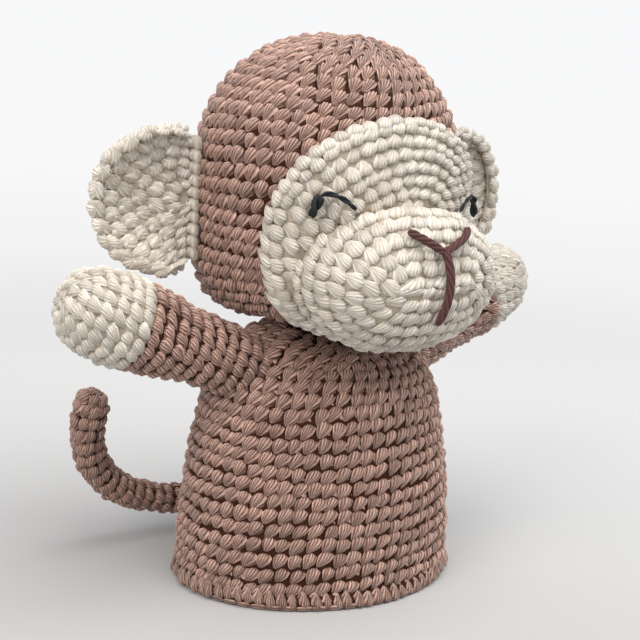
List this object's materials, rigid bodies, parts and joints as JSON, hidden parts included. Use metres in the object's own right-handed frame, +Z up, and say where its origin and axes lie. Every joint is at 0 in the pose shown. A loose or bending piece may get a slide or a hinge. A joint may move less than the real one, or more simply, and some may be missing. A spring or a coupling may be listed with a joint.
{
  "type": "monkey hand puppet",
  "caption": "Crocheted monkey hand puppet with a bell-shaped body for the hand, a stuffed head that nods and turns, cupped ears, waving arms and a curled tail.",
  "frame": {"origin": "on the floor, in the middle of the puppet's box from side to side and from front to back", "axes": "+Z up through the head, -Y where the face looks, +X to the puppet's left"},
  "size_m": [0.2301, 0.1448, 0.2189],
  "materials": {
    "brown_yarn": "dusty brown acrylic yarn in single crochet",
    "cream_yarn": "cream acrylic yarn in single crochet",
    "maroon_yarn": "dark maroon embroidery yarn",
    "black_thread": "black embroidery thread",
    "fibre_filling": "loose polyester fibre"
  },
  "bodies": {
    "torso": {"body_shell": "brown_yarn", "hem_edging": "brown_yarn"},
    "neck": {"neck_seam": "brown_yarn"},
    "head": {"head_shell": "brown_yarn", "finger_sleeve": "brown_yarn", "head_stuffing": "fibre_filling", "face_patch": "cream_yarn", "muzzle_stuffing": "fibre_filling", "face_border": "cream_yarn", "right_eye": "black_thread", "left_eye": "black_thread", "nose_right": "maroon_yarn", "nose_left": "maroon_yarn", "mouth": "maroon_yarn"},
    "right_ear": {"right_ear": "cream_yarn"},
    "left_ear": {"left_ear": "cream_yarn"},
    "right_shoulder": {"right_shoulder_seam": "brown_yarn"},
    "right_arm": {"right_arm": "brown_yarn", "right_hand": "cream_yarn", "right_hand_stuffing": "fibre_filling"},
    "left_shoulder": {"left_shoulder_seam": "brown_yarn"},
    "left_arm": {"left_arm": "brown_yarn", "left_hand": "cream_yarn", "left_hand_stuffing": "fibre_filling"},
    "tail": {"tail": "brown_yarn"}
  },
  "joints": [
    {"name": "head_turn", "type": "hinge", "parent": "torso", "child": "neck", "pos_m": [0.00005, 0.00345, 0.1005], "axis": [0, 0, 1], "range_deg": [-25, 25], "stiffness_Nm_per_rad": 0.15},
    {"name": "head_nod", "type": "hinge", "parent": "neck", "child": "head", "pos_m": [0.00005, 0.00345, 0.1005], "axis": [1, 0, 0], "range_deg": [-3, 12], "stiffness_Nm_per_rad": 0.6},
    {"name": "right_ear_flop", "type": "hinge", "parent": "head", "child": "right_ear", "pos_m": [-0.05442, 0.0201, 0.15238], "axis": [0, 0, 1], "range_deg": [-10, 10], "stiffness_Nm_per_rad": 0.02},
    {"name": "left_ear_flop", "type": "hinge", "parent": "head", "child": "left_ear", "pos_m": [0.0555, 0.01523, 0.15238], "axis": [0, 0, -1], "range_deg": [-10, 10], "stiffness_Nm_per_rad": 0.02},
    {"name": "right_arm_swing", "type": "hinge", "parent": "torso", "child": "right_shoulder", "pos_m": [-0.0468, 0.00345, 0.092], "axis": [0, 0, 1], "range_deg": [-4, 20], "stiffness_Nm_per_rad": 0.05},
    {"name": "right_arm_raise", "type": "hinge", "parent": "right_shoulder", "child": "right_arm", "pos_m": [-0.0468, 0.00345, 0.092], "axis": [0.1564, 0.9877, 0], "range_deg": [-23, 0], "stiffness_Nm_per_rad": 0.15},
    {"name": "left_arm_swing", "type": "hinge", "parent": "torso", "child": "left_shoulder", "pos_m": [0.0469, 0.00345, 0.092], "axis": [0, 0, -1], "range_deg": [-4, 20], "stiffness_Nm_per_rad": 0.05},
    {"name": "left_arm_raise", "type": "hinge", "parent": "left_shoulder", "child": "left_arm", "pos_m": [0.0469, 0.00345, 0.092], "axis": [0.1564, -0.9877, 0], "range_deg": [-23, 0], "stiffness_Nm_per_rad": 0.15},
    {"name": "tail_swing", "type": "hinge", "parent": "torso", "child": "tail", "pos_m": [0.00005, 0.05883, 0.016], "axis": [0, 0, -1], "range_deg": [0, 110], "stiffness_Nm_per_rad": 0.01}
  ]
}
